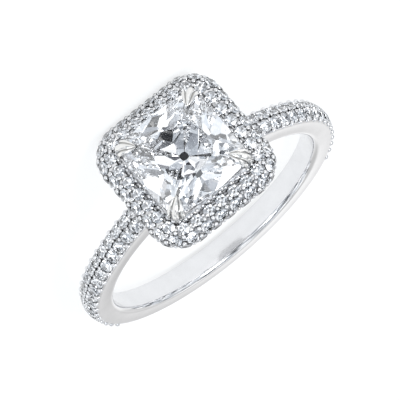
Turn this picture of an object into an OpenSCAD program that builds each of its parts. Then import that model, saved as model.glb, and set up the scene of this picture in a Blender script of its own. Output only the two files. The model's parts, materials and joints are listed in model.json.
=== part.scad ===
// Cushion halo ring: a pave-set band that carries a square cushion-cut stone in a domed, three-row halo.
// The ring lies on its side, as it does on a table, with its head towards -Y. Lengths are in millimetres.
// Worked out in the ring's own axes first: x along the top of the ring, y along the finger, z to the head.

/* [Band] */
// Diameter of the finger hole
finger_d = 16.5; // [15:0.1:19]
// Width of the band, along the finger
band_w = 1.76; // [1.7:0.02:2.2]
// Thickness of the band at the crest of its dome
band_t = 1.8; // [1.6:0.05:2.4]
// Radius of the dome across the band's outer face
band_dome_r = 1.15; // [1.1:0.05:1.6]
// Radius that softens the two edges of the finger hole
band_edge_r = 0.33; // [0.15:0.01:0.5]

/* [Band stones] */
// Diameter of a stone on the band
band_stone_d = 0.84; // [0.7:0.01:0.86]
// Distance between stones in a row, along the band
band_pitch = 0.965; // [0.96:0.005:1.2]
// Lean of each of the two rows away from the crest, in degrees
band_row_lean = 23; // [22.5:0.5:26]
// Depth of the stones' girdles below the crest of the dome
band_stone_sink = 0.1; // [0.06:0.01:0.14]
// Where the stones begin, in degrees from the head
pave_start = 25.5; // [24:0.5:34]
// Where the stones end, in degrees from the head
pave_end = 121; // [80:1:130]

/* [Centre stone] */
// Width of the cushion-cut stone over its girdle
stone_w = 6.4; // [5.8:0.05:7.6]
// Radius of the stone's rounded corners
stone_corner_r = 1.3; // [0.9:0.05:1.8]
// Height of the crown
stone_crown_h = 0.9; // [0.6:0.05:1.2]
// Thickness of the girdle
stone_girdle_h = 0.1; // [0.06:0.02:0.2]
// Depth of the pavilion
stone_pavilion_h = 2.85; // [2.4:0.05:3]
// Width of the table
stone_table_w = 3.7; // [3:0.1:4.4]
// Height of the girdle above the finger hole
girdle_rise = 5.1; // [4.9:0.05:6.5]

/* [Halo] */
// Distance from the centre stone's side out to the centre line of the halo's dome
halo_gap = 0.46; // [0.44:0.02:1]
// Radius of the dome across the halo
halo_dome_r = 0.98; // [0.94:0.01:1.06]
// Distance from the centre stone's side in to the centres of the halo's rounded corners
halo_corner_inset = 0.8; // [0.6:0.05:1.4]
// Depth of the dome's centre line below the girdle
halo_drop = 1.5; // [1.4:0.05:2]
// Depth of the halo's frame below its dome's centre line
halo_skirt_h = 0.75; // [0.6:0.05:1]
// Depth of the stones' girdles below the dome's surface
halo_stone_sink = 0.11; // [0.08:0.01:0.14]
// Diameter of a stone in the inner row
inner_stone_d = 0.76; // [0.6:0.01:0.78]
// Diameter of a stone in the middle row
middle_stone_d = 0.84; // [0.6:0.01:0.86]
// Diameter of a stone in the side row
side_stone_d = 0.88; // [0.6:0.01:0.92]
// Reach of the collar under the centre stone's side
collar_lap = 0.15; // [0.13:0.01:0.23]
// Thickness of the collar
collar_t = 0.23; // [0.15:0.01:0.3]
// Depth of the collar's top below the girdle
collar_drop = 0.22; // [0.2:0.01:0.4]

/* [Basket] */
// Diameter of the basket's wires
wire_d = 0.76; // [0.6:0.02:0.8]
// Width of the base rail, between the centres of its wires
rail_w = 3.5; // [3:0.1:3.8]
// Diameter of the base rail's wire
rail_d = 0.56; // [0.4:0.02:0.7]
// Depth that the base rail is soldered into the crest of the band
rail_solder = 0.15; // [0.1:0.01:0.25]
// Distance of a claw's centre line outside the centre stone's corner, along x and along y
claw_off = 0.07; // [0.04:0.01:0.1]
// Reach of a claw's tip over the stone, along x and along y
claw_reach = 0.56; // [0.4:0.02:0.7]
// Diameter of a claw's tip
claw_tip_d = 0.2; // [0.16:0.02:0.3]
// Growth of a wire's diameter where it bends or is soldered
joint_swell = 0.06; // [0.04:0.01:0.12]

/* [Hidden] */
$fn = 48;

// Clearance between a stone and its seat
seat_gap = 0.02;
// Radius of the flat bottom of a drilled seat
seat_tip_r = 0.05;
// Facets round each corner of the centre stone, and the bow of its sides
corner_steps = 3;
side_bow = 0.1;
// A small stone: shares of its diameter
small_crown = 0.15;
small_pavilion = 0.43;
small_table = 0.56;
small_sides = 8;
// Stones in each row of the halo; the middle row lies half a step on from the others
halo_count = 28;
// Direction of each row on the halo's dome, in degrees above the horizontal
inner_angle = 87;
middle_angle = 36;
side_angle = -16;

finger_r = finger_d / 2;
band_r = finger_r + band_t;
band_half = band_w / 2;
dome_centre_r = band_r - band_dome_r;
band_girdle_r = band_dome_r - band_stone_sink;
girdle_z = finger_r + girdle_rise;
stone_half = stone_w / 2;
// Half width of the halo at the centre line of its dome, and half distance between its corners' centres
halo_half_w = stone_half + halo_gap;
halo_corner_c = stone_half - halo_corner_inset;
// Half width of the collar at its outer face
collar_half_w = stone_half - collar_lap + collar_t;
halo_z = girdle_z - halo_drop;
halo_girdle_r = halo_dome_r - halo_stone_sink;
table_z = girdle_z + stone_girdle_h / 2 + stone_crown_h;
rail_half = rail_w / 2;
rail_corner_r = rail_d;
rail_z = sqrt(pow(band_r, 2) - pow(rail_half, 2)) + rail_d / 2 - rail_solder;
// Where a basket wire stops leaning and stands up beside the stone
elbow_rise = 0.1;
elbow_z = halo_z + elbow_rise;
// Height of a claw's tip on the crown, as a share of the crown's height
claw_climb = 0.62;
// A claw's centre line along x and along y, outside the middle of the stone's rounded corner
claw_c = stone_half - side_bow - stone_corner_r * (1 - sqrt(0.5)) + claw_off;
claw_tip_xy = claw_c - claw_reach;

// How the ring lies: on its side, where the stones of the halo's side row touch the floor, and on its palm side
side_table_r = halo_girdle_r + small_crown * side_stone_d;
flank_end_r = dome_centre_r + sqrt(pow(band_dome_r, 2) - pow(band_half, 2));
rest_across = halo_half_w - band_half;
rest_along = halo_z + flank_end_r;
function lean_for(reach) = atan(rest_across / rest_along) + asin(reach / norm([rest_across, rest_along]));
side_tip = abs(side_angle + lean_for(side_table_r));
side_reach = side_table_r * cos(side_tip) + small_table * side_stone_d / 2 * sin(side_tip);
lean = lean_for(side_reach);
floor_drop = halo_half_w * cos(lean) - halo_z * sin(lean) + side_reach;
palm_reach = dome_centre_r * cos(lean) + band_dome_r;
head_reach = table_z * cos(lean) + stone_table_w / 2 * sin(lean);

module laid_down()
    translate([0, (head_reach - palm_reach) / 2, floor_drop])
        rotate([lean - 90, 0, 180])
            children();

// Vectors
function unit(v) = v / norm(v);
// A frame is [origin, x axis, y axis, z axis]
function put(frame, p) = frame[0] + p[0] * frame[1] + p[1] * frame[2] + p[2] * frame[3];
function frame_of(origin, along, up) = [origin, unit(along), cross(unit(up), unit(along)), unit(up)];

// Points along a rounded square that starts at the middle of its +x side: [x, y, direction outwards]
function path_length(half, corner_c) = 8 * corner_c + 2 * PI * (half - corner_c);
function path_quarter(half, corner_c, s) =
    let (r = half - corner_c, bend = PI * r / 2)
    s < corner_c ? [half, s, 0]
    : s < corner_c + bend
        ? let (a = (s - corner_c) / r * 180 / PI) [corner_c + r * cos(a), corner_c + r * sin(a), a]
        : [corner_c - (s - corner_c - bend), half, 90];
function turned(p, quarter) =
    [p[0] * cos(90 * quarter) - p[1] * sin(90 * quarter),
     p[0] * sin(90 * quarter) + p[1] * cos(90 * quarter), p[2] + 90 * quarter];
function path_point(half, corner_c, s) =
    let (length = path_length(half, corner_c) / 4, quarter = floor(s / length))
    turned(path_quarter(half, corner_c, s - quarter * length), quarter);

// Frames of one row of halo stones, half a step on if shift is 0.5
function halo_row(angle, shift) =
    let (half = halo_half_w + halo_girdle_r * cos(angle), z = halo_z + halo_girdle_r * sin(angle),
         step = path_length(half, halo_corner_c) / halo_count)
    [for (i = [0 : halo_count - 1])
        let (p = path_point(half, halo_corner_c, (i + shift) * step),
             out = [cos(p[2]), sin(p[2]), 0])
        frame_of([p[0], p[1], z], [-out[1], out[0], 0], out * cos(angle) + [0, 0, sin(angle)])];

// Frames of the two staggered rows on one side of the band: side is 1 on the left as the ring lies, or -1
band_step = band_pitch / (dome_centre_r + band_girdle_r * cos(band_row_lean)) * 180 / PI;
band_count = floor((pave_end - pave_start) / band_step);
function band_rows(side) =
    [for (i = [0 : 2 * band_count - 1])
        let (a = side * (pave_start + i * band_step / 2), row = i % 2 == 0 ? 1 : -1,
             radial = [sin(a), 0, cos(a)],
             up = radial * cos(band_row_lean) + [0, row * sin(band_row_lean), 0],
             origin = radial * dome_centre_r + up * band_girdle_r)
        frame_of(origin, [cos(a), 0, -sin(a)], up)];

// Small round stone: table, crown and pavilion, with its girdle at z = 0
function ring_points(r, z, turn) =
    [for (i = [0 : small_sides - 1]) [r * cos(turn + i * 360 / small_sides), r * sin(turn + i * 360 / small_sides), z]];
function small_points(d) =
    concat(ring_points(small_table * d / 2, small_crown * d, 0), ring_points(d / 2, 0, 0),
           [[0, 0, -small_pavilion * d]]);
function small_faces(first) =
    let (n = small_sides, culet = first + 2 * n)
    concat([[for (i = [n - 1 : -1 : 0]) first + i]],
           [for (i = [0 : n - 1]) let (j = (i + 1) % n) [first + i, first + j, first + n + j, first + n + i]],
           [for (i = [0 : n - 1]) let (j = (i + 1) % n) [first + n + i, first + n + j, culet]]);

// Every stone of a field as one set of closed shells
module stone_field(frames, d) {
    local = small_points(d);
    polyhedron(points = [for (f = frames) for (p = local) put(f, p)],
               faces = [for (k = [0 : len(frames) - 1]) each small_faces(k * len(local))], convexity = 4);
}

// Seat drilled for a small stone, open above it
module seats(frames, d) {
    r = d / 2 + seat_gap;
    depth = small_pavilion * d + 2 * seat_gap;
    for (f = frames)
        multmatrix([[f[1][0], f[2][0], f[3][0], f[0][0]], [f[1][1], f[2][1], f[3][1], f[0][1]],
                    [f[1][2], f[2][2], f[3][2], f[0][2]], [0, 0, 0, 1]])
            rotate_extrude()
                polygon([[0, -depth], [seat_tip_r, -depth], [r, 0], [r, d / 2], [0, d / 2]]);
}

// Cushion outline: bowed sides between rounded corners, from the middle of the +x side
function cushion(half, r, z) =
    let (c = half - side_bow - r)
    [for (quarter = [0 : 3]) each
        [for (p = concat([[half, 0, 0]], [for (i = [0 : corner_steps])
                              let (a = i * 90 / corner_steps) [c + r * cos(a), c + r * sin(a), 0]]))
            let (t = turned(p, quarter)) [t[0], t[1], z]]];

// Faceted centre stone grown outwards by grow
module cushion_stone(grow) {
    half = stone_half + grow;
    girdle = cushion(half, stone_corner_r + grow, 0);
    n = len(girdle);
    table_half = stone_table_w / 2 + grow;
    table = cushion(table_half, stone_corner_r * stone_table_w / stone_w, 0);
    top = [for (p = table) [p[0], p[1], stone_girdle_h / 2 + stone_crown_h + grow]];
    upper = [for (p = girdle) [p[0], p[1], stone_girdle_h / 2]];
    lower = [for (p = girdle) [p[0], p[1], -stone_girdle_h / 2]];
    culet = [[0, 0, -stone_girdle_h / 2 - stone_pavilion_h - grow]];
    translate([0, 0, girdle_z])
        polyhedron(points = concat(top, upper, lower, culet),
                   faces = concat([[for (i = [n - 1 : -1 : 0]) i]],
                                  [for (k = [0, 1]) for (i = [0 : n - 1]) let (j = (i + 1) % n)
                                      [k * n + i, k * n + j, k * n + n + j, k * n + n + i]],
                                  [for (i = [0 : n - 1]) let (j = (i + 1) % n) [2 * n + i, 2 * n + j, 3 * n]]),
                   convexity = 2);
}

// Cross-section of the band, x outwards from the finger's axis
module band_profile() {
    difference() {
        intersection() {
            translate([finger_r, -band_half])
                square([band_t, band_w]);
            translate([dome_centre_r, 0])
                circle(r = band_dome_r);
        }
        for (side = [1, -1])
            translate([finger_r, side * band_half])
                difference() {
                    square(2 * band_edge_r, center = true);
                    translate([band_edge_r, -side * band_edge_r])
                        circle(r = band_edge_r);
                }
    }
}

module band()
    rotate([90, 0, 0])
        rotate_extrude()
            band_profile();

// Cross-section of the halo's frame, x outwards from offset
module halo_profile(offset) {
    translate([halo_half_w - offset, 0])
        intersection() {
            circle(r = halo_dome_r);
            translate([-(halo_half_w - collar_half_w + collar_t / 2), -halo_skirt_h])
                square([halo_half_w - collar_half_w + collar_t / 2 + halo_dome_r, halo_skirt_h + halo_dome_r]);
        }
    translate([collar_half_w - collar_t - offset, -halo_skirt_h])
        square([collar_t, halo_skirt_h + halo_drop - collar_drop]);
}

module halo_frame()
    translate([0, 0, halo_z])
        for (quarter = [0 : 3])
            rotate(90 * quarter) {
                translate([0, halo_corner_c, 0])
                    rotate([90, 0, 0])
                        linear_extrude(2 * halo_corner_c)
                            halo_profile(0);
                translate([halo_corner_c, halo_corner_c, 0])
                    rotate_extrude(angle = 90)
                        halo_profile(halo_corner_c);
            }

// Straight or tapered round wire between two points
module wire(from, to, from_d, to_d) {
    run = to - from;
    translate(from)
        rotate([0, acos(run[2] / norm(run)), atan2(run[1], run[0])])
            cylinder(h = norm(run), d1 = from_d, d2 = to_d);
}

module ball(at, d)
    translate(at)
        sphere(d = d);

// Base rail of the basket, soldered to the crest of the band
module base_rail()
    translate([0, 0, rail_z])
        for (quarter = [0 : 3])
            rotate(90 * quarter) {
                translate([rail_half, rail_half - rail_corner_r, 0])
                    rotate([90, 0, 0])
                        cylinder(h = 2 * (rail_half - rail_corner_r), d = rail_d);
                translate([rail_half - rail_corner_r, rail_half - rail_corner_r, 0])
                    rotate_extrude(angle = 90)
                        translate([rail_corner_r, 0])
                            circle(d = rail_d);
            }

// Wire from the base rail past the halo, ending in a claw that reaches over the stone's corner
module claw_wire() {
    foot_xy = rail_half - rail_corner_r * (1 - sqrt(0.5));
    foot = [foot_xy, foot_xy, rail_z];
    elbow = [claw_c, claw_c, elbow_z];
    shoulder = [claw_c, claw_c, girdle_z + stone_girdle_h];
    tip_z = girdle_z + stone_girdle_h / 2 + claw_climb * stone_crown_h + claw_tip_d / 2;
    tip = [claw_tip_xy, claw_tip_xy, tip_z];
    ball(foot, wire_d + joint_swell);
    wire(foot, elbow, wire_d, wire_d);
    ball(elbow, wire_d + joint_swell);
    wire(elbow, shoulder, wire_d, wire_d);
    ball(shoulder, wire_d + joint_swell);
    wire(shoulder, tip, wire_d, claw_tip_d);
    ball(tip, claw_tip_d + joint_swell / 2);
}

module setting()
    color("gainsboro")
        laid_down()
            difference() {
                union() {
                    band();
                    halo_frame();
                    base_rail();
                    for (quarter = [0 : 3])
                        rotate(90 * quarter)
                            claw_wire();
                }
                rotate([90, 0, 0])
                    cylinder(h = 4 * band_w, r = finger_r, center = true);
                cushion_stone(seat_gap);
                seats(halo_row(inner_angle, 0), inner_stone_d);
                seats(halo_row(middle_angle, 0.5), middle_stone_d);
                seats(halo_row(side_angle, 0), side_stone_d);
                seats(concat(band_rows(1), band_rows(-1)), band_stone_d);
            }

module centre_stone()
    color("aliceblue")
        laid_down()
            cushion_stone(0);

module halo_stones_top()
    color("azure")
        laid_down() {
            stone_field(halo_row(inner_angle, 0), inner_stone_d);
            stone_field(halo_row(middle_angle, 0.5), middle_stone_d);
        }

module halo_stones_side()
    color("lavender")
        laid_down()
            stone_field(halo_row(side_angle, 0), side_stone_d);

module band_stones_left()
    color("azure")
        laid_down()
            stone_field(band_rows(1), band_stone_d);

module band_stones_right()
    color("azure")
        laid_down()
            stone_field(band_rows(-1), band_stone_d);

setting();
centre_stone();
halo_stones_top();
halo_stones_side();
band_stones_left();
band_stones_right();
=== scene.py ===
import json
import math

import bmesh
import bpy
import numpy as np
from mathutils import Matrix, Vector


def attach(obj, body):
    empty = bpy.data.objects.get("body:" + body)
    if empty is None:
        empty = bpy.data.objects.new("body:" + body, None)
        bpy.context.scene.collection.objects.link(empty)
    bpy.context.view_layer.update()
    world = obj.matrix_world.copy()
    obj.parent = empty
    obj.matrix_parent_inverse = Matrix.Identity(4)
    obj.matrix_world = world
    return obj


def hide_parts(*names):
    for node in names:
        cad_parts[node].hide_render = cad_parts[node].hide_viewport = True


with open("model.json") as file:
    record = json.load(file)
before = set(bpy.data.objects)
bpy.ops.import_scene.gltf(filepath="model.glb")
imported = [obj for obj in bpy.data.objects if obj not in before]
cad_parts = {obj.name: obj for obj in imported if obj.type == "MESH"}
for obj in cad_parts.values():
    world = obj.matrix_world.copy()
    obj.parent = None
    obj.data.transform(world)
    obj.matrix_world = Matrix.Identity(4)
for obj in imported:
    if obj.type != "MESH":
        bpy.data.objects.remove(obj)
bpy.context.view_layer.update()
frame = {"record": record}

# Lengths are in millimetres and angles in degrees, in the ring's own axes: x across the head, y along
# the finger, z to the head. TO_ROW lays the ring down on its side, in metres, as the frame has it.
MM = 0.001
hole = next(m for m in frame["record"]["mounts"] if m["name"] == "finger_hole")
ring_x = Vector((-1, 0, 0))
ring_y = -Vector(hole["axis"]).normalized()
ring_z = ring_x.cross(ring_y)
TO_ROW = Matrix.Translation(hole["pos_m"]) @ Matrix((ring_x, ring_y, ring_z)).transposed().to_4x4() \
    @ Matrix.Scale(MM, 4)

# Camera: the photograph's angle in the frame's axes, worked out from the ellipses of the finger hole
VIEW_AZIMUTH = 5.88
VIEW_ELEVATION = 26.9
VIEW_ROLL = 138.65
VIEW_TARGET = Vector((-0.187, 1.776, 1.672))
VIEW_DISTANCE = 300
VIEW_NEAR = 10
VIEW_FAR = 5000
VIEW_LENS = 416.9
SENSOR_W = 36

# Light: tones are linear, and cards and lamps stand in the frame's axes
LIGHT_BOUNCES = 32
LAMP_DISTANCE = 120
TENT_STRENGTH = 2.0
# Panels of the tent: how fine they are, which pattern they make, and their tones from dark to bright
PANEL_SCALE = 8.0
PANEL_SEED = 4.1
PANEL_TONES = ((0.0, (0.005, 0.005, 0.006)), (0.14, (0.03, 0.032, 0.036)), (0.24, (0.19, 0.205, 0.23)),
               (0.5, (0.40, 0.43, 0.465)), (0.75, (0.62, 0.63, 0.64)), (1.0, (0.95, 0.95, 0.95)))
# The tent is smooth towards +y: y of a direction where the panels start to fade and where they are gone,
# tones from the floor up, and z of a direction where the last tone is reached
SMOOTH_SIDE = (0.55, 0.85)
SMOOTH_TONES = ((0.0, (0.36, 0.365, 0.375)), (1.0, (0.46, 0.465, 0.475)))
SMOOTH_TOP = 0.6
# The dark opening that the lens looks through: angles at its outer and inner edge, and its tone
OPENING_ANGLES = (9, 6)
OPENING_TONE = 0.03
# Black card in front of the ring
FLAG_Y = -36
FLAG_X = (-6, 1.5)
FLAG_TOP = 5
# Graded card behind the ring. Its tone falls with height between two heights. Columns of the tones
# across it: two places along x, and the tone at each.
BACKDROP_Y = 45
BACKDROP_X = (-40, 40)
BACKDROP_TOP = 35
BACKDROP_STRENGTH = 1.12
BACKDROP_HEIGHTS = (4, 14)
BACKDROP_HIGH_TONE = 0.78
BACKDROP_TONES = ((-9, 5, 1.0, 0.77), (-20, -10, 0.92, 1.0))
FLOOR_HALF = 1500
FLOOR_GLOW = 0.8

# Band
FINGER_R = hole["dims"]["r_mm"]
BAND_W = 1.76
BAND_T = 1.8
BAND_DOME_R = 1.15
BAND_EDGE_R = 0.33
BAND_R = FINGER_R + BAND_T
DOME_CENTRE_R = BAND_R - BAND_DOME_R
BAND_HALF = BAND_W / 2
FLANK_HOLLOW = 0.02
# The dome and the flanks stop short of the line where they would meet, and leave a small chamfer
CHAMFER_ANGLE = 2
CHAMFER_H = 0.06
DOME_HALF_ANGLE = math.degrees(math.asin(BAND_HALF / BAND_DOME_R)) - CHAMFER_ANGLE
# The shoulders swell towards the halo. Angles from the head: where the swell starts, is full, falls
# again and ends.
SHOULDER_RISE = 0.3
SHOULDER_SPAN = (8, 20, 26, 50)

# Small stones: shares of a stone's diameter
SMALL_CROWN = 0.15
SMALL_PAVILION = 0.43
SMALL_TABLE = 0.56
SMALL_GIRDLE = 0.016
# Shown stones fill their seats a little more than the solids, which keep clear of each other
STONE_FILL = 1.05
SEAT_GAP = 0.03
SEAT_TIP_R = 0.05

# Band stones, in two rows that lean from the crest to either side. BAND_COUNT is for one row on one
# side of the head.
BAND_STONE_D = 0.84
BAND_STONE_SINK = 0.1
BAND_PITCH = 0.965
BAND_ROW_LEAN = 23
BAND_GIRDLE_R = BAND_DOME_R - BAND_STONE_SINK
PAVE_START = 25.5
PAVE_END = 121
ROW_CIRCLE_R = DOME_CENTRE_R + BAND_GIRDLE_R * math.cos(math.radians(BAND_ROW_LEAN))
BAND_STEP = math.degrees(BAND_PITCH / ROW_CIRCLE_R)
BAND_COUNT = int((PAVE_END - PAVE_START) / BAND_STEP)

# Centre stone
STONE_W = 6.4
STONE_HALF = STONE_W / 2
STONE_CORNER_R = 1.3
STONE_CROWN = 0.9
STONE_GIRDLE = 0.1
STONE_PAVILION = 2.85
SIDE_BOW = 0.1
GIRDLE_RISE = 5.1
GIRDLE_Z = FINGER_R + GIRDLE_RISE
# The point of the pavilion is ground to a small flat culet, at this height from the girdle's middle
CULET_GROUND = 0.12
CULET_Z = -(STONE_GIRDLE / 2 + STONE_PAVILION - CULET_GROUND)

# Halo
HALO_GAP = 0.46
HALO_HALF = STONE_HALF + HALO_GAP
HALO_DOME_R = 0.98
HALO_CORNER_INSET = 0.8
HALO_CORNER_C = STONE_HALF - HALO_CORNER_INSET
HALO_DROP = 1.5
HALO_Z = GIRDLE_Z - HALO_DROP
HALO_SKIRT = 0.75
HALO_STONE_SINK = 0.11
HALO_GIRDLE_R = HALO_DOME_R - HALO_STONE_SINK
HALO_COUNT = 28
COLLAR_LAP = 0.15
COLLAR_T = 0.23
COLLAR_HALF = STONE_HALF - COLLAR_LAP + COLLAR_T
COLLAR_DROP = 0.22
COLLAR_TOP = GIRDLE_Z - COLLAR_DROP
# Rim of the collar that shows round the centre stone
RIM_T = 0.1
RIM_BEVEL = 0.03
# The metal follows the dome up to this direction, and then slopes up to the collar's rim
HALO_CREST = 107
# Columns of a row: direction on the dome, shift in steps, and diameter of its stones
INNER_ROW = (87, 0.0, 0.76)
MIDDLE_ROW = (36, 0.5, 0.84)
SIDE_ROW = (-16, 0.0, 0.88)

# The metal between the small stones lies this much below the plain domes. It rises to them again over
# these angles: from an edge of the band's dome, past the band's last stone, and from the halo's foot.
RECESS = 0.13
RECESS_AT_EDGE = (7, 3)
RECESS_AT_END = (1, 4)
RECESS_AT_FOOT = (2, 8)

# Basket: a square base rail and four wires
WIRE_D = 0.76
RAIL_HALF = 1.75
RAIL_D = 0.56
RAIL_CORNER_R = RAIL_D
RAIL_SOLDER = 0.15
RAIL_Z = math.sqrt(BAND_R ** 2 - RAIL_HALF ** 2) + RAIL_D / 2 - RAIL_SOLDER
# A wire starts this deep in the rail, sets off outwards and upwards, and is upright from below the
# halo's centre to above it
WIRE_FOOT = 0.1
WIRE_LEAN = 0.25
WIRE_RISE = 0.45
WIRE_UPRIGHT = 0.6
WIRE_TOP = 0.5

# Claws: their centre line along x and along y, and how far they come in over the stone
CLAW_OFF = 0.07
CLAW_C = STONE_HALF - SIDE_BOW - STONE_CORNER_R * (1 - math.sqrt(0.5)) + CLAW_OFF
CLAW_REACH = 0.75
CLAW_TIP = CLAW_C - CLAW_REACH
# The shown talon stands a little outside the solid's claw and ends in a point
TALON_OFF = 0.03
TALON_W = 1.15
TALON_H = 0.36
TALON_POINT_W = 0.01
TALON_POINT_H = 0.05
# Its heights: root above the halo's centre, end of the straight part below the girdle, and bend and
# tip above the girdle
TALON_ROOT = 0.3
TALON_STRAIGHT = 0.3
TALON_BEND = 0.28
TALON_TIP = 0.68
# The curve of its back: control point in from the centre line and up from the bend
TALON_SHOULDER = (0.2, 0.24)
# Its width and height narrow to the point as (1 - t ** a) ** b, with these a and b
TALON_W_TAPER = (2.5, 0.7)
TALON_H_TAPER = (1.8, 0.8)
# Its section, in shares of its height and half width: arch and keel outside, arch inside, and grooves
TALON_ARCH = 0.4
TALON_KEEL = 0.6
TALON_INSIDE = 0.3
GROOVE_DEPTH = 0.45
GROOVE_PLACE = 0.5
GROOVE_W = 0.12

# Bead prongs: how far those of the collar and the skirt lean on from the nearest row, and the share of
# the rows' lean for those at the band's edges
COLLAR_BEAD_LEAN = 24
SKIRT_BEAD_LEAN = 15
EDGE_BEAD_SHARE = 1.9

# Steps of curves and sweeps
ROUND_STEPS = 24
BAND_STATIONS = 720
BAND_DOME_STEPS = 40
BAND_EDGE_STEPS = 8
FLANK_STEPS = 12
HALO_STATIONS = 392
HALO_DOME_STEPS = 45
SLOPE_STEPS = 5
BEVEL_STEPS = 3
INSIDE_STEPS = 8
UNDER_STEPS = 6
RAIL_STATIONS = 160
WIRE_STEPS = 18
WIRE_SIDES = 16
TALON_ROOT_STEPS = 6
TALON_STEPS = 26
TALON_SIDES = 64
BEAD_SIDES = 10
# Edges of swept metal, of bent wires and of beads look smooth up to these angles
SWEPT_SHARP = 35
WIRE_SHARP = 40
BEAD_SHARP = 60


def direction(azimuth, elevation):
    """Unit vector in the frame's axes, with azimuth from -y towards +x and elevation from the floor."""
    a, e = math.radians(azimuth), math.radians(elevation)
    return Vector((math.sin(a) * math.cos(e), -math.cos(a) * math.cos(e), math.sin(e)))


def camera():
    """The photograph's camera, with its long lens."""
    back = direction(VIEW_AZIMUTH, VIEW_ELEVATION)
    roll = math.radians(VIEW_ROLL)
    level = Vector((0, 0, 1)).cross(back).normalized()
    upright = back.cross(level)
    right = math.cos(roll) * level + math.sin(roll) * upright
    data = bpy.data.cameras.new("camera")
    data.lens = VIEW_LENS
    data.sensor_width = SENSOR_W
    data.clip_start = VIEW_NEAR * MM
    data.clip_end = VIEW_FAR * MM
    cam = bpy.data.objects.new("camera", data)
    cam.matrix_world = Matrix.Translation((VIEW_TARGET + back * VIEW_DISTANCE) * MM) \
        @ Matrix((right, back.cross(right), back)).transposed().to_4x4()
    bpy.context.scene.collection.objects.link(cam)
    bpy.context.scene.camera = cam


def new_piece(name, points, faces, material, sharp=None):
    """A mesh from points in the ring's axes. Faces are flat, or smooth up to an angle of sharp degrees."""
    mesh = bpy.data.meshes.new(name)
    mesh.from_pydata([TO_ROW @ Vector(p) for p in points], [], faces)
    finish_mesh(mesh, material, sharp)
    piece = bpy.data.objects.new(name, mesh)
    bpy.context.scene.collection.objects.link(piece)
    return piece


def finish_mesh(mesh, material, sharp):
    """Gives a mesh its one material and its shading."""
    mesh.materials.clear()
    mesh.materials.append(material)
    if sharp is not None:
        mesh.shade_smooth()
        mesh.set_sharp_from_angle(angle=math.radians(sharp))
    mesh.update()


# Places on the ring
def unit(v):
    """A vector's direction, at length 1."""
    return v / np.linalg.norm(v)


# Sideways for a claw or a basket wire, which bend in the plane of a diagonal
ACROSS_DIAGONAL = unit(np.array((-1.0, 1.0, 0.0)))


def frame_of(origin, along, up):
    """Frame (origin, x axis, y axis, z axis) with x along a row and z away from the metal."""
    z, x = unit(np.array(up, float)), unit(np.array(along, float))
    return np.array(origin, float), x, np.cross(z, x), z


def put(seat, p):
    """Point p of a frame's own axes, in the ring's axes."""
    return seat[0] + p[0] * seat[1] + p[1] * seat[2] + p[2] * seat[3]


def turned(x, y, angle):
    """A point turned about z by an angle in radians."""
    c, s = math.cos(angle), math.sin(angle)
    return x * c - y * s, x * s + y * c


def ease(x, low, high):
    """0 below low, 1 above high, smooth between them."""
    t = min(1.0, max(0.0, (x - low) / (high - low)))
    return t * t * (3 - 2 * t)


def rounded_square(half, corner_c, s):
    """Point and outward direction on a rounded square, from the middle of its +x side, s along it."""
    r = half - corner_c
    bend = math.pi * r / 2
    quarter = 2 * corner_c + bend
    turn, s = divmod(s, quarter)
    if s < corner_c:
        x, y, a = half, s, 0.0
    elif s < corner_c + bend:
        a = (s - corner_c) / r
        x, y = corner_c + r * math.cos(a), corner_c + r * math.sin(a)
    else:
        x, y, a = corner_c - (s - corner_c - bend), half, math.pi / 2
    q = turn * math.pi / 2
    return (*turned(x, y, q), math.cos(a + q), math.sin(a + q))


def square_length(half, corner_c):
    """Length of a rounded square's outline."""
    return 8 * corner_c + 2 * math.pi * (half - corner_c)


def halo_spot(angle, step, lift=0.0):
    """Frame on the halo's dome, at a row's direction and a number of steps along it."""
    a = math.radians(angle)
    half = HALO_HALF + HALO_GIRDLE_R * math.cos(a)
    along = step * square_length(half, HALO_CORNER_C) / HALO_COUNT
    x, y, ox, oy = rounded_square(half, HALO_CORNER_C, along)
    up = np.array((ox * math.cos(a), oy * math.cos(a), math.sin(a)))
    return frame_of(np.array((x, y, HALO_Z + HALO_GIRDLE_R * math.sin(a))) + lift * up, (-oy, ox, 0), up)


def halo_row(row):
    """Frames of the stones in a row of the halo."""
    angle, shift, _ = row
    return [halo_spot(angle, i + shift) for i in range(HALO_COUNT)]


def shoulder(angle):
    """Swell of the band's dome at an angle from the head."""
    start, full, fall, end = SHOULDER_SPAN
    return SHOULDER_RISE * ease(abs(angle), start, full) * (1 - ease(abs(angle), fall, end))


def band_spot(angle, lean, lift=0.0):
    """Frame on the band's dome: angle from the head, and lean from the crest towards +y."""
    a, b = math.radians(angle), math.radians(lean)
    radial = np.array((math.sin(a), 0, math.cos(a)))
    up = radial * math.cos(b) + np.array((0, math.sin(b), 0))
    origin = radial * (DOME_CENTRE_R + shoulder(angle)) + up * (BAND_GIRDLE_R + lift)
    return frame_of(origin, (math.cos(a), 0, -math.sin(a)), up)


def band_places(side):
    """Angle and lean of each stone on one side of the band, in turns from the two rows."""
    return [(side * (PAVE_START + i * BAND_STEP / 2), BAND_ROW_LEAN if i % 2 == 0 else -BAND_ROW_LEAN)
            for i in range(2 * BAND_COUNT)]


def band_rows(side):
    """Frames of the stones on one side of the band."""
    return [band_spot(angle, lean) for angle, lean in band_places(side)]


# Cut stones
# Columns of a tier of facets: azimuths within a quarter turn, the share of the way out to the girdle
# and the height above the girdle's middle that a facet passes through, and its fall over the way from
# the axis to the girdle
CROWN_TIERS = (
    ((4.5, 15, 30, 60, 75, 85.5), 1.0, 0.05, 2.35),
    ((0, 22.5, 45, 67.5), 0.9, 0.28, 1.95),
    ((11, 34, 56, 79), 0.6, 0.85, 1.2),
)
PAVILION_TIERS = (
    ((4.5, 13, 23, 34, 56, 67, 77, 85.5), 1.0, -0.05, 3.5),
    ((0, 22.5, 45, 67.5), 0.8, -0.75, 3.05),
    ((11, 34, 56, 79), 0.55, -1.5, 2.72),
)
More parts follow.
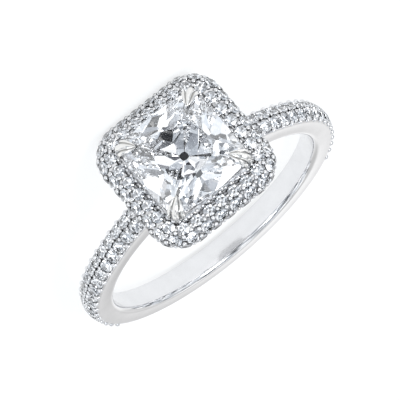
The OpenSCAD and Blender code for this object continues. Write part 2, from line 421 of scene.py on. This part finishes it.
# A small round stone of unit diameter is a single cut, with eight facets above and eight below
SMALL_CROWN_TIERS = (((0, 45), 1.0, SMALL_GIRDLE / 2, SMALL_CROWN / (1 - SMALL_TABLE)),)
SMALL_PAVILION_TIERS = (((22.5, 67.5), 1.0, -SMALL_GIRDLE / 2, SMALL_PAVILION),)
# Points this close to a facet's plane lie on it, and faces this close to the culet's height are the culet
ON_PLANE = 0.0001
ON_CULET = 0.01


def cut_stone(outline, bottom, top, crown_tiers, pavilion_tiers):
    """Points and faces of a stone that is cut out of a block, one facet after another."""
    shape = bmesh.new()
    low = [shape.verts.new((x, y, bottom)) for x, y in outline]
    high = [shape.verts.new((x, y, top)) for x, y in outline]
    shape.faces.new(low[::-1])
    shape.faces.new(high)
    for i in range(len(outline)):
        j = (i + 1) % len(outline)
        shape.faces.new((low[i], low[j], high[j], high[i]))
    for tiers, sign in ((crown_tiers, 1), (pavilion_tiers, -1)):
        for azimuths, share, z, fall in tiers:
            for azimuth in [q + a for q in (0, 90, 180, 270) for a in azimuths]:
                aim = (math.cos(math.radians(azimuth)), math.sin(math.radians(azimuth)))
                reach = max(x * aim[0] + y * aim[1] for x, y in outline)
                grind(shape, (aim[0] * reach * share, aim[1] * reach * share, z),
                      (aim[0] * fall / reach, aim[1] * fall / reach, sign))
    shape.verts.index_update()
    points = [tuple(v.co) for v in shape.verts]
    faces = [[v.index for v in f.verts] for f in shape.faces]
    shape.free()
    return points, faces


def grind(shape, point, normal):
    """Takes away what lies beyond a plane, and closes the shape with a facet."""
    cut_line = bmesh.ops.bisect_plane(shape, geom=[*shape.verts, *shape.edges, *shape.faces],
                                      dist=ON_PLANE, plane_co=point, plane_no=normal, clear_outer=True)
    edges = [g for g in cut_line["geom_cut"] if isinstance(g, bmesh.types.BMEdge)]
    if len(edges) > 2:
        bmesh.ops.edgeloop_fill(shape, edges=edges)


def round_outline(r, n=ROUND_STEPS):
    """Points of a circle."""
    return [(r * math.cos(2 * math.pi * i / n), r * math.sin(2 * math.pi * i / n)) for i in range(n)]


def cushion_outline(half, r, bow):
    """Square with bowed sides and round corners."""
    c = half - bow - r
    quarter = [(half - bow * share ** 2, c * share) for share in (-0.67, -0.33, 0, 0.33, 0.67)]
    quarter += [(c + r * math.cos(math.radians(a)), c + r * math.sin(math.radians(a)))
                for a in range(0, 91, 15)]
    return [turned(x, y, turn * math.pi / 2) for turn in range(4) for x, y in quarter]


def centre_stone(material):
    """The cushion-cut stone, with its ground culet in a material of its own."""
    points, faces = cut_stone(cushion_outline(STONE_HALF, STONE_CORNER_R, SIDE_BOW), CULET_Z,
                              STONE_GIRDLE / 2 + STONE_CROWN, CROWN_TIERS, PAVILION_TIERS)
    points = [(x, y, z + GIRDLE_Z) for x, y, z in points]
    piece = new_piece("cushion_stone", points, faces, material)
    piece.data.materials.append(culet_material())
    for face, ids in zip(piece.data.polygons, faces):
        if max(points[i][2] for i in ids) < GIRDLE_Z + CULET_Z + ON_CULET:
            face.material_index = 1
    return piece


def stone_field(name, groups, material):
    """Small stones of several rows as one piece. groups is a list of (frames, diameter). A stone is
    enlarged to fill its seat, but its crown keeps its height."""
    local, cut_faces = cut_stone(round_outline(0.5), -SMALL_PAVILION, SMALL_CROWN,
                                 SMALL_CROWN_TIERS, SMALL_PAVILION_TIERS)
    points, faces = [], []
    for seats, d in groups:
        wide = d * STONE_FILL
        for seat in seats:
            first = len(points)
            points += [put(seat, (x * wide, y * wide, z * (d if z > 0 else wide))) for x, y, z in local]
            faces += [[first + i for i in f] for f in cut_faces]
    return new_piece(name, points, faces, material)


# Skins over rings of points
def ring_quads(n, rings, closed=False, first=0):
    """Faces between neighbouring rings of n points, and from the last ring to the first if closed."""
    pairs = [(first + k * n, first + (k + 1) % rings * n) for k in range(rings if closed else rings - 1)]
    return [(a + i, a + (i + 1) % n, b + (i + 1) % n, b + i) for a, b in pairs for i in range(n)]


def ring_cap(n, start):
    """Face over a ring of n points."""
    return list(range(start, start + n))


def seat_cutters(groups, material):
    """Drilled seats for round stones, as closed shells."""
    points, faces, n = [], [], ROUND_STEPS
    for seats, d in groups:
        wide = d * STONE_FILL
        r = wide / 2 + SEAT_GAP
        rings = ((SEAT_TIP_R, -SMALL_PAVILION * wide - 2 * SEAT_GAP), (r, 0), (r, wide / 2))
        for seat in seats:
            first = len(points)
            points += [put(seat, (x, y, z)) for radius, z in rings for x, y in round_outline(radius)]
            faces.append(ring_cap(n, first)[::-1])
            faces.append(ring_cap(n, first + (len(rings) - 1) * n))
            faces += ring_quads(n, len(rings), first=first)
    return new_piece("cutters", points, faces, material)


def cut_seats(piece, groups, material):
    """Takes the seats of the small stones out of a piece, for good."""
    cutters = seat_cutters(groups, material)
    change = piece.modifiers.new("seats", "BOOLEAN")
    change.object = cutters
    change.operation = "DIFFERENCE"
    change.solver = "EXACT"
    cut_mesh = bpy.data.meshes.new_from_object(piece.evaluated_get(bpy.context.evaluated_depsgraph_get()))
    piece.modifiers.clear()
    old, piece.data = piece.data, cut_mesh
    bpy.data.meshes.remove(old)
    cut_mesh.name = piece.name
    finish_mesh(cut_mesh, material, SWEPT_SHARP)
    bpy.data.objects.remove(cutters)


def sweep(stations, sections, closed=True):
    """Skin through stations (origin, u axis, v axis), each with its own section of points (u, v)."""
    n = len(sections[0])
    points = [o + u * a + v * b for (o, a, b), section in zip(stations, sections) for u, v in section]
    faces = ring_quads(n, len(stations), closed)
    if not closed:
        faces.append(ring_cap(n, 0)[::-1])
        faces.append(ring_cap(n, (len(stations) - 1) * n))
    return points, faces


def arc(cx, cy, r, a0, a1, count):
    """Points of an arc about (cx, cy), from angle a0 to a1."""
    return [(cx + r * math.cos(math.radians(a0 + (a1 - a0) * i / count)),
             cy + r * math.sin(math.radians(a0 + (a1 - a0) * i / count))) for i in range(count + 1)]


def line(p, q, count):
    """Points from p up to but without q."""
    return [(p[0] + (q[0] - p[0]) * i / count, p[1] + (q[1] - p[1]) * i / count) for i in range(count)]


def bezier(p, count):
    """Points of a curve with four control points."""
    p = [np.array(q, float) for q in p]
    out = []
    for i in range(count + 1):
        t = i / count
        s = 1 - t
        out.append(p[0] * s ** 3 + 3 * p[1] * t * s ** 2 + 3 * p[2] * t ** 2 * s + p[3] * t ** 3)
    return out


def along_path(path, across):
    """Stations along a path, with the u axis kept close to across."""
    stations = []
    for i, p in enumerate(path):
        run = unit(path[min(i + 1, len(path) - 1)] - path[max(i - 1, 0)])
        v = unit(np.cross(run, across))
        stations.append((p, np.cross(v, run), v))
    return stations


def along_square(half, corner_c, z, count):
    """Stations round a rounded square at a height, with u outward and v upward."""
    length = square_length(half, corner_c)
    stations = []
    for i in range(count):
        x, y, ox, oy = rounded_square(half, corner_c, length * i / count)
        stations.append((np.array((x, y, z)), np.array((ox, oy, 0.0)), np.array((0.0, 0.0, 1.0))))
    return stations


def join(parts):
    """Several (points, faces) as one."""
    points, faces = [], []
    for p, f in parts:
        first = len(points)
        points += list(p)
        faces += [[first + i for i in face] for face in f]
    return points, faces


def spun(part, quarter):
    """A (points, faces) turned about z by quarter turns."""
    c, s = ((1, 0), (0, 1), (-1, 0), (0, -1))[quarter]
    return [np.array((p[0] * c - p[1] * s, p[0] * s + p[1] * c, p[2])) for p in part[0]], part[1]


# Metal
def band_section(recess, swell):
    """Outline of the band, with its dome sunk between its two edges by recess and raised by swell."""
    full, plain = (DOME_HALF_ANGLE - a for a in RECESS_AT_EDGE)
    dome = []
    for i in range(BAND_DOME_STEPS + 1):
        lean = -DOME_HALF_ANGLE + 2 * DOME_HALF_ANGLE * i / BAND_DOME_STEPS
        r = BAND_DOME_R - recess * (1 - ease(abs(lean), full, plain))
        dome.append((DOME_CENTRE_R + swell + r * math.cos(math.radians(lean)),
                     r * math.sin(math.radians(lean))))
    start = FINGER_R + BAND_EDGE_R
    end = DOME_CENTRE_R + swell + math.sqrt(BAND_DOME_R ** 2 - BAND_HALF ** 2) - CHAMFER_H
    near = arc(start, -BAND_HALF + BAND_EDGE_R, BAND_EDGE_R, 180, 270, BAND_EDGE_STEPS)
    far = arc(start, BAND_HALF - BAND_EDGE_R, BAND_EDGE_R, 90, 180, BAND_EDGE_STEPS)
    flank = [(start + (end - start) * i / FLANK_STEPS,
              BAND_HALF - FLANK_HOLLOW * math.sin(math.pi * i / FLANK_STEPS))
             for i in range(1, FLANK_STEPS + 1)]
    return near + [(x, -y) for x, y in flank] + dome + flank[::-1] + far


def band_piece(material):
    """The band, swept once round the finger."""
    full, plain = (PAVE_END + a for a in RECESS_AT_END)
    stations, sections = [], []
    for i in range(BAND_STATIONS):
        angle = 360 * i / BAND_STATIONS
        a = math.radians(angle)
        radial = np.array((math.sin(a), 0, math.cos(a)))
        stations.append((np.zeros(3), radial, np.array((0.0, 1.0, 0.0))))
        from_head = min(angle, 360 - angle)
        recess = RECESS * (1 - ease(from_head, full, plain))
        sections.append(band_section(recess, shoulder(from_head)))
    return new_piece("band", *sweep(stations, sections), material, SWEPT_SHARP)


def halo_profile():
    """Section of the halo's metal: dome, slope, the collar's rim and inner side, and the under side."""
    inner = COLLAR_HALF - COLLAR_T - HALO_HALF
    face = inner + RIM_T
    low = -HALO_SKIRT
    top = COLLAR_TOP - HALO_Z
    rim_z = top - RIM_BEVEL
    foot = -math.degrees(math.asin(HALO_SKIRT / HALO_DOME_R))
    plain, full = (foot + a for a in RECESS_AT_FOOT)
    dome = []
    for i in range(HALO_DOME_STEPS + 1):
        a = foot + (HALO_CREST - foot) * i / HALO_DOME_STEPS
        r = HALO_DOME_R - RECESS * ease(a, plain, full)
        dome.append((r * math.cos(math.radians(a)), r * math.sin(math.radians(a))))
    slope = line(dome[-1], (face, rim_z), SLOPE_STEPS)[1:]
    rim = arc(face - RIM_BEVEL, rim_z, RIM_BEVEL, 0, 90, BEVEL_STEPS)
    rim += arc(inner + RIM_BEVEL, rim_z, RIM_BEVEL, 90, 180, BEVEL_STEPS)
    inside = line((inner, top - 2 * RIM_BEVEL), (inner, low), INSIDE_STEPS) + [(inner, low)]
    under = line((inner, low), (dome[0][0], low), UNDER_STEPS)[1:]
    return dome + slope + rim + inside + under


def halo_piece(material):
    """The halo's metal with the collar, swept round the centre stone."""
    stations = along_square(HALO_HALF, HALO_CORNER_C, HALO_Z, HALO_STATIONS)
    skin = sweep(stations, [halo_profile()] * HALO_STATIONS)
    return new_piece("halo_frame", *skin, material, SWEPT_SHARP)


def talon_section(w, h):
    """Section of a talon, w to each side and h high, with a groove on each side of its keel."""
    section = []
    for i in range(TALON_SIDES):
        a = 2 * math.pi * i / TALON_SIDES
        u, v = math.cos(a), math.sin(a)
        arch = math.sqrt(max(0.0, 1 - u * u))
        groove = GROOVE_DEPTH * math.exp(-((abs(u) - GROOVE_PLACE) / GROOVE_W) ** 2)
        outside = TALON_ARCH * arch + TALON_KEEL * (1 - abs(u)) - groove
        section.append((w * u, TALON_INSIDE * h * arch if v > 0 else -h * outside))
    return section


def claw():
    """Talon from the halo's inner corner up over the stone: wide at its root, keeled and pointed."""
    c = CLAW_C + TALON_OFF
    root_z = HALO_Z + TALON_ROOT
    straight_z = GIRDLE_Z - TALON_STRAIGHT
    bend_z = GIRDLE_Z + TALON_BEND
    shoulder_in, shoulder_up = TALON_SHOULDER
    path = [np.array((c, c, root_z + (straight_z - root_z) * i / TALON_ROOT_STEPS))
            for i in range(TALON_ROOT_STEPS)]
    path += bezier([(c, c, straight_z), (c, c, bend_z),
                    (c - shoulder_in, c - shoulder_in, bend_z + shoulder_up),
                    (CLAW_TIP, CLAW_TIP, GIRDLE_Z + TALON_TIP)], TALON_STEPS)
    (w_a, w_b), (h_a, h_b) = TALON_W_TAPER, TALON_H_TAPER
    sections = []
    for i in range(len(path)):
        t = max(0.0, (i - TALON_ROOT_STEPS) / (len(path) - TALON_ROOT_STEPS - 1))
        sections.append(talon_section(TALON_W / 2 * (1 - t ** w_a) ** w_b + TALON_POINT_W,
                                      TALON_H * (1 - t ** h_a) ** h_b + TALON_POINT_H))
    return sweep(along_path(path, ACROSS_DIAGONAL), sections, closed=False)


def basket():
    """Four leaning wires and the base rail that they stand on."""
    corner_c = RAIL_HALF - RAIL_CORNER_R
    rail = sweep(along_square(RAIL_HALF, corner_c, RAIL_Z, RAIL_STATIONS),
                 [round_outline(RAIL_D / 2, WIRE_SIDES)] * RAIL_STATIONS)
    foot = RAIL_HALF - RAIL_CORNER_R * (1 - math.sqrt(0.5))
    path = bezier([(foot, foot, RAIL_Z - WIRE_FOOT),
                   (foot + WIRE_LEAN, foot + WIRE_LEAN, RAIL_Z + WIRE_RISE),
                   (CLAW_C, CLAW_C, HALO_Z - WIRE_UPRIGHT),
                   (CLAW_C, CLAW_C, HALO_Z + WIRE_TOP)], WIRE_STEPS)
    wire = sweep(along_path(path, ACROSS_DIAGONAL), [round_outline(WIRE_D / 2, WIRE_SIDES)] * len(path),
                 closed=False)
    return join([rail] + [spun(wire, q) for q in range(4)])


# Bead prongs
# Columns of a bead's profile: distance from its axis and height, in shares of its radius
BEAD_PROFILE = ((0.9, -0.7), (1.0, -0.2), (0.97, 0.12), (0.85, 0.42), (0.62, 0.68), (0.33, 0.85))
BEAD_TOP = 0.92


def bead(spot, radius, stretch=1.0):
    """Rounded prong: a dome on a short stem, longer along its frame's y axis if stretch is over 1."""
    points = [put(spot, (x, stretch * y, radius * z)) for share, z in BEAD_PROFILE
              for x, y in round_outline(radius * share, BEAD_SIDES)]
    points.append(put(spot, (0, 0, radius * BEAD_TOP)))
    last = (len(BEAD_PROFILE) - 1) * BEAD_SIDES
    faces = [ring_cap(BEAD_SIDES, 0)[::-1]]
    faces += ring_quads(BEAD_SIDES, len(BEAD_PROFILE))
    faces += [(last + i, last + (i + 1) % BEAD_SIDES, last + BEAD_SIDES) for i in range(BEAD_SIDES)]
    return points, faces


def between_rows(a, b):
    """Direction of the gap between two neighbours in row a and the stone of row b that faces them."""
    return (2 * a + b) / 3


def halo_beads():
    """Beads round the collar, between the rows, and on the skirt below the side row."""
    inner, middle, side = INNER_ROW[0], MIDDLE_ROW[0], SIDE_ROW[0]
    collar, skirt = inner + COLLAR_BEAD_LEAN, side - SKIRT_BEAD_LEAN
    # Columns: direction on the dome, shift in steps, lift, radius, stretch
    kinds = (
        (collar, 0.25, 0.25, 0.13, 1.0),
        (collar, 0.75, 0.25, 0.13, 1.0),
        (between_rows(inner, middle), 0.5, 0.03, 0.155, 1.0),
        (between_rows(middle, inner), 0, 0.03, 0.165, 1.0),
        (between_rows(middle, side), 0, 0.02, 0.175, 1.0),
        (between_rows(side, middle), 0.5, 0.02, 0.175, 1.0),
        (skirt, 0.4, -0.05, 0.12, 2.0),
        (skirt, 0.6, -0.05, 0.12, 2.0),
    )
    return join([bead(halo_spot(angle, i + shift, lift), radius, stretch)
                 for i in range(HALO_COUNT) for angle, shift, lift, radius, stretch in kinds])


def band_beads():
    """Beads between the band's two rows, and at the edge across from each stone."""
    parts = []
    for angle, lean in band_places(1) + band_places(-1):
        # Columns: lean from the crest, lift, radius
        kinds = ((between_rows(-lean, lean), 0.03, 0.14), (-lean * EDGE_BEAD_SHARE, 0.07, 0.2))
        parts += [bead(band_spot(angle, bead_lean, lift), radius) for bead_lean, lift, radius in kinds]
    return join(parts)


# Materials
# Metal: the share by which its tone wanders, and the height of the marks in its polish. Painted shade
# darkens it in crevices: how far the shader looks for a surface nearby, and the open shares from darkest to
# plain.
TONE_SPREAD = 0.025
MARK_H = 0.02
SHADE_REACH = 0.32
SHADE_OPEN = (0.3, 0.85)
DIAMOND_IOR = 2.417


def nodes_of(name):
    """A new material with its node tree and its shader."""
    material = bpy.data.materials.new(name)
    material.use_nodes = True
    tree = material.node_tree
    return material, tree, tree.nodes["Principled BSDF"]


def noise(tree, scale, detail=2.0):
    """Noise fixed to the object, with scale in cells to a metre."""
    coords = tree.nodes.new("ShaderNodeTexCoord")
    texture = tree.nodes.new("ShaderNodeTexNoise")
    texture.inputs["Scale"].default_value = scale
    texture.inputs["Detail"].default_value = detail
    tree.links.new(coords.outputs["Object"], texture.inputs["Vector"])
    return texture


def ramp(tree, source, stops):
    """Colour ramp over a socket. Columns of stops: place, colour."""
    node = tree.nodes.new("ShaderNodeValToRGB")
    elements = node.color_ramp.elements
    while len(elements) < len(stops):
        elements.new(0.5)
    for element, (at, colour) in zip(elements, stops):
        element.position = at
        element.color = (*colour, 1)
    tree.links.new(source, node.inputs["Fac"])
    return node


def set_or_link(tree, socket, value):
    """Gives a socket a value, or another node's output."""
    if isinstance(value, bpy.types.NodeSocket):
        tree.links.new(value, socket)
    else:
        socket.default_value = value


def math_node(tree, operation, *values):
    """Math or vector dot product node. A value is a number, a vector or another node's socket."""
    dot = operation == "DOT_PRODUCT"
    node = tree.nodes.new("ShaderNodeVectorMath" if dot else "ShaderNodeMath")
    node.operation = operation
    for socket, value in zip(node.inputs, values):
        set_or_link(tree, socket, value)
    return node.outputs["Value"] if dot else node.outputs[0]


def smooth_step(tree, value, low, high, at_low, at_high):
    """Goes smoothly from at_low to at_high while a socket's value goes from low to high."""
    node = tree.nodes.new("ShaderNodeMapRange")
    node.interpolation_type = "SMOOTHSTEP"
    for name, number in (("From Min", low), ("From Max", high), ("To Min", at_low), ("To Max", at_high)):
        node.inputs[name].default_value = number
    tree.links.new(value, node.inputs["Value"])
    return node.outputs["Result"]


def mix(tree, mode, factor, a, b):
    """Mix of two colours, each given as a value or a socket."""
    node = tree.nodes.new("ShaderNodeMix")
    node.data_type = "RGBA"
    node.blend_type = mode
    for name, value in (("Factor", factor), ("A", a), ("B", b)):
        set_or_link(tree, next(s for s in node.inputs if s.name == name and s.enabled), value)
    return next(s for s in node.outputs if s.enabled)


def metal_material(name, tone, smoothest, roughest, darkest_shade):
    """Polished metal with faint marks, with painted shade down to the darkest tone in its narrow crevices.
    """
    material, tree, shader = nodes_of(name)
    shader.inputs["Metallic"].default_value = 1.0
    tint = noise(tree, scale=900)
    colours = ramp(tree, tint.outputs["Fac"],
                   [(0.3, [(1 - TONE_SPREAD) * c for c in tone]),
                    (0.7, [(1 + TONE_SPREAD) * c for c in tone])])
    # Painted shade: ambient occlusion darkens the base colour in crevices and where parts meet
    shade = tree.nodes.new("ShaderNodeAmbientOcclusion")
    shade.samples = 8
    shade.inputs["Distance"].default_value = SHADE_REACH * MM
    crevice_shade = smooth_step(tree, shade.outputs["AO"], *SHADE_OPEN, darkest_shade, 1.0)
    tree.links.new(mix(tree, "MULTIPLY", 1.0, colours.outputs["Color"], crevice_shade),
                   shader.inputs["Base Color"])
    marks = noise(tree, scale=9000, detail=4)
    rough = tree.nodes.new("ShaderNodeMapRange")
    rough.inputs["To Min"].default_value = smoothest
    rough.inputs["To Max"].default_value = roughest
    tree.links.new(marks.outputs["Fac"], rough.inputs["Value"])
    tree.links.new(rough.outputs["Result"], shader.inputs["Roughness"])
    bump = tree.nodes.new("ShaderNodeBump")
    bump.inputs["Strength"].default_value = 0.04
    bump.inputs["Distance"].default_value = MARK_H * MM
    tree.links.new(marks.outputs["Fac"], bump.inputs["Height"])
    tree.links.new(bump.outputs["Normal"], shader.inputs["Normal"])
    return material


def stone_material(name, pale, deep):
    """Clear stone that bends light like diamond, with a faint cloud between two colours."""
    material, tree, shader = nodes_of(name)
    shader.inputs["Transmission Weight"].default_value = 1.0
    shader.inputs["IOR"].default_value = DIAMOND_IOR
    shader.inputs["Roughness"].default_value = 0.0
    cloud = noise(tree, scale=700)
    colours = ramp(tree, cloud.outputs["Fac"], [(0.35, pale), (0.65, deep)])
    tree.links.new(colours.outputs["Color"], shader.inputs["Base Color"])
    return material


def culet_material():
    """Ground, not polished: it looks grey from inside the stone."""
    material, tree, shader = nodes_of("ground_culet")
    grain = noise(tree, scale=4000)
    colours = ramp(tree, grain.outputs["Fac"], [(0.3, (0.09, 0.095, 0.1)), (0.7, (0.14, 0.145, 0.15))])
    tree.links.new(colours.outputs["Color"], shader.inputs["Base Color"])
    shader.inputs["Roughness"].default_value = 0.6
    return material


# Stage
def stage_panel(name, corners, material):
    """Flat panel from four corners in the frame's axes, in millimetres."""
    mesh = bpy.data.meshes.new(name)
    mesh.from_pydata([(x * MM, y * MM, z * MM) for x, y, z in corners], [], [(0, 1, 2, 3)])
    mesh.materials.append(material)
    panel = bpy.data.objects.new(name, mesh)
    bpy.context.scene.collection.objects.link(panel)
    return panel


def hidden_card(name, span, y, top, material):
    """Card that stands on the floor square to y. The camera doesn't see it, and it casts no shadow."""
    left, right = span
    corners = [(x, y, z) for x, z in ((left, 0), (right, 0), (right, top), (left, top))]
    card = stage_panel(name, corners, material)
    card.visible_camera = False
    card.visible_diffuse = False
    card.visible_shadow = False
    return card


def floor():
    """White surface that glows a little, left out of what the stones let through."""
    material, tree, shader = nodes_of("pale_floor")
    grain = noise(tree, scale=60)
    colours = ramp(tree, grain.outputs["Fac"], [(0.3, (0.24, 0.24, 0.24)), (0.7, (0.26, 0.26, 0.26))])
    tree.links.new(colours.outputs["Color"], shader.inputs["Base Color"])
    shader.inputs["Roughness"].default_value = 0.9
    shader.inputs["Emission Color"].default_value = (0.975, 0.99, 1, 1)
    shader.inputs["Emission Strength"].default_value = FLOOR_GLOW
    half = FLOOR_HALF
    plane = stage_panel("floor", [(-half, -half, 0), (half, -half, 0), (half, half, 0), (-half, half, 0)],
                        material)
    plane.visible_transmission = False


def flag():
    """Small black card in front of the ring, seen only by its reflection in the stones and the metal."""
    material, _, shader = nodes_of("black_card")
    shader.inputs["Base Color"].default_value = (0.01, 0.01, 0.01, 1)
    shader.inputs["Roughness"].default_value = 1.0
    shader.inputs["Specular IOR Level"].default_value = 0.0
    card = hidden_card("flag", FLAG_X, FLAG_Y, FLAG_TOP, material)


def backdrop():
    """Graded card behind the ring, bright low down and in its middle, seen only by its reflection in the
    metal."""
    material, tree, shader = nodes_of("graded_card")
    place = tree.nodes.new("ShaderNodeSeparateXYZ")
    tree.links.new(tree.nodes.new("ShaderNodeTexCoord").outputs["Object"], place.inputs["Vector"])
    low_z, high_z = BACKDROP_HEIGHTS
    tone = smooth_step(tree, place.outputs["Z"], low_z * MM, high_z * MM, 1.0, BACKDROP_HIGH_TONE)
    for low, high, at_low, at_high in BACKDROP_TONES:
        across = smooth_step(tree, place.outputs["X"], low * MM, high * MM, at_low, at_high)
        tone = math_node(tree, "MULTIPLY", tone, across)
    shader.inputs["Base Color"].default_value = (0, 0, 0, 1)
    shader.inputs["Specular IOR Level"].default_value = 0.0
    tree.links.new(tone, shader.inputs["Emission Color"])
    shader.inputs["Emission Strength"].default_value = BACKDROP_STRENGTH
    card = hidden_card("backdrop", BACKDROP_X, BACKDROP_Y, BACKDROP_TOP, material)
    card.visible_transmission = False


def tent():
    """White light tent: bright and dark panels round the head, smooth behind the palm side, with a dark
    opening for the lens."""
    world = bpy.data.worlds.new("tent")
    world.use_nodes = True
    bpy.context.scene.world = world
    tree = world.node_tree
    background = tree.nodes["Background"]
    ray = tree.nodes.new("ShaderNodeTexCoord").outputs["Generated"]
    facing = math_node(tree, "DOT_PRODUCT", ray, direction(VIEW_AZIMUTH, VIEW_ELEVATION))
    outer, inner = (math.cos(math.radians(a)) for a in OPENING_ANGLES)
    opening = smooth_step(tree, facing, outer, inner, 1.0, OPENING_TONE)
    behind = math_node(tree, "DOT_PRODUCT", ray, (0, 1, 0))
    smooth = smooth_step(tree, behind, *SMOOTH_SIDE, 0.0, 1.0)
    cells = tree.nodes.new("ShaderNodeTexVoronoi")
    cells.voronoi_dimensions = "4D"
    cells.inputs["Scale"].default_value = PANEL_SCALE
    cells.inputs["W"].default_value = PANEL_SEED
    tree.links.new(ray, cells.inputs["Vector"])
    pick = tree.nodes.new("ShaderNodeSeparateColor")
    tree.links.new(cells.outputs["Color"], pick.inputs["Color"])
    panels = ramp(tree, pick.outputs["Red"], PANEL_TONES)
    height = tree.nodes.new("ShaderNodeSeparateXYZ")
    tree.links.new(ray, height.inputs["Vector"])
    rise = smooth_step(tree, height.outputs["Z"], 0.0, SMOOTH_TOP, 0.0, 1.0)
    back = ramp(tree, rise, SMOOTH_TONES)
    colour = mix(tree, "MIX", smooth, panels.outputs["Color"], back.outputs["Color"])
    colour = mix(tree, "MULTIPLY", 1.0, colour, opening)
    tree.links.new(colour, background.inputs["Color"])
    background.inputs["Strength"].default_value = TENT_STRENGTH


def soft_box(name, azimuth, elevation, size, power, colour):
    """Square lamp aimed at the ring."""
    back = direction(azimuth, elevation)
    data = bpy.data.lights.new(name, "AREA")
    data.size = size * MM
    data.energy = power
    data.color = colour
    lamp = bpy.data.objects.new(name, data)
    lamp.location = back * LAMP_DISTANCE * MM
    lamp.rotation_mode = "QUATERNION"
    lamp.rotation_quaternion = back.to_track_quat("Z", "Y")
    bpy.context.scene.collection.objects.link(lamp)


camera()
floor()
flag()
backdrop()
tent()
soft_box("key", azimuth=-35, elevation=55, size=40, power=0.04, colour=(1, 1, 1))
soft_box("fill", azimuth=60, elevation=40, size=25, power=0.02, colour=(0.9, 0.95, 1))
bpy.context.scene.view_settings.view_transform = "Standard"
# Light crosses a cut stone many times before it leaves
bpy.context.scene.cycles.max_bounces = LIGHT_BOUNCES
bpy.context.scene.cycles.glossy_bounces = LIGHT_BOUNCES
bpy.context.scene.cycles.transmission_bounces = LIGHT_BOUNCES

white_metal = metal_material("white_metal", (0.78, 0.78, 0.79), smoothest=0.07, roughest=0.15, darkest_shade=0.03)
# The claws are the same metal as the band, with a lighter base tone that is painted light for the light
# they catch, and a rougher polish
claw_metal_painted_light = metal_material("claw_metal_painted_light", (0.85, 0.84, 0.82), smoothest=0.18, roughest=0.24, darkest_shade=0.02)
clear_stone = stone_material("centre_stone", pale=(0.985, 0.99, 1.0), deep=(0.95, 0.97, 1.0))
small_clear = stone_material("small_stones", pale=(0.98, 0.985, 1.0), deep=(0.93, 0.95, 0.98))

stone = centre_stone(clear_stone)
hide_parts("centre_stone")

halo_top = [(halo_row(INNER_ROW), INNER_ROW[2]), (halo_row(MIDDLE_ROW), MIDDLE_ROW[2])]
halo_side = [(halo_row(SIDE_ROW), SIDE_ROW[2])]
left = [(band_rows(1), BAND_STONE_D)]
right = [(band_rows(-1), BAND_STONE_D)]
made = {"halo_stones_top": halo_top, "halo_stones_side": halo_side, "band_stones_left": left,
        "band_stones_right": right}
for node, groups in made.items():
    field = stone_field("cut_" + node, groups, small_clear)
    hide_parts(node)
    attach(field, "root")
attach(stone, "root")

band = band_piece(white_metal)
cut_seats(band, left + right, white_metal)
halo = halo_piece(white_metal)
cut_seats(halo, halo_top + halo_side, white_metal)
claws = new_piece("claws", *join([spun(claw(), q) for q in range(4)]), claw_metal_painted_light, WIRE_SHARP)
wires = new_piece("basket", *basket(), white_metal, WIRE_SHARP)
beads = new_piece("halo_beads", *halo_beads(), white_metal, BEAD_SHARP)
pips = new_piece("band_beads", *band_beads(), white_metal, BEAD_SHARP)
for piece in (band, halo, claws, wires, beads, pips):
    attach(piece, "root")
    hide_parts("setting")
